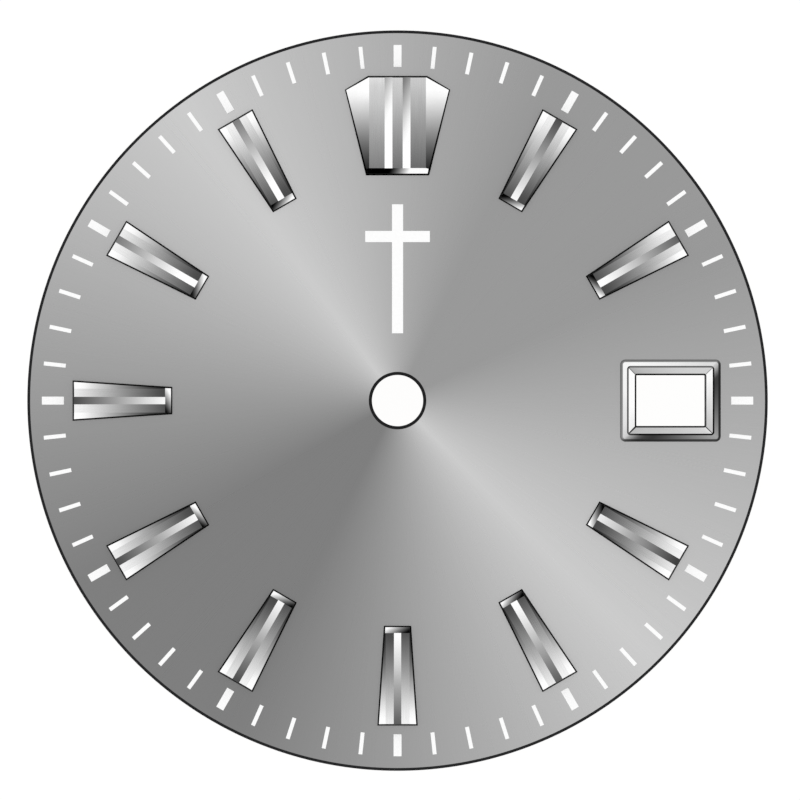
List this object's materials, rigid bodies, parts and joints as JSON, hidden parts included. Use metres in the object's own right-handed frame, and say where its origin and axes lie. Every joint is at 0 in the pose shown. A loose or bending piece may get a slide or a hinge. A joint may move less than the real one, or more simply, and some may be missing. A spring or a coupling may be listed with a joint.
{
  "type": "watch dial",
  "caption": "Round sunray-brushed metal watch dial with applied bar hour markers, a framed date window at 3, a printed minute track, and two feet on its back.",
  "frame": {"origin": "centre of the plate's back face, on the axis of the centre hole, where the dial seats on its movement", "axes": "+Z out of the dial's face towards the reader, +Y towards 12 o'clock, +X towards the date window at 3 o'clock"},
  "size_m": [0.0285, 0.0284, 0.0028],
  "materials": {
    "sunray_plate": "fine radial sunray brushing, silver-grey plated and lacquered, with a blackened rim bevel",
    "marker_metal": "diamond-cut and polished rhodium plate",
    "frame_metal": "polished rhodium plate",
    "white_ink": "raised white pad-printed ink",
    "foot_copper": "drawn copper wire",
    "hard_solder": "silver solder, slightly rippled"
  },
  "bodies": {
    "root": {"cross_print": "white_ink", "date_frame": "frame_metal", "dial_foot_lower": "foot_copper", "dial_foot_upper": "foot_copper", "dial_plate": "sunray_plate", "five_minute_marks": "white_ink", "foot_solder_lower": "hard_solder", "foot_solder_upper": "hard_solder", "hour_marker_01": "marker_metal", "hour_marker_02": "marker_metal", "hour_marker_04": "marker_metal", "hour_marker_05": "marker_metal", "hour_marker_06": "marker_metal", "hour_marker_07": "marker_metal", "hour_marker_08": "marker_metal", "hour_marker_09": "marker_metal", "hour_marker_10": "marker_metal", "hour_marker_11": "marker_metal", "hour_marker_12": "marker_metal", "minute_marks": "white_ink"}
  },
  "joints": []
}
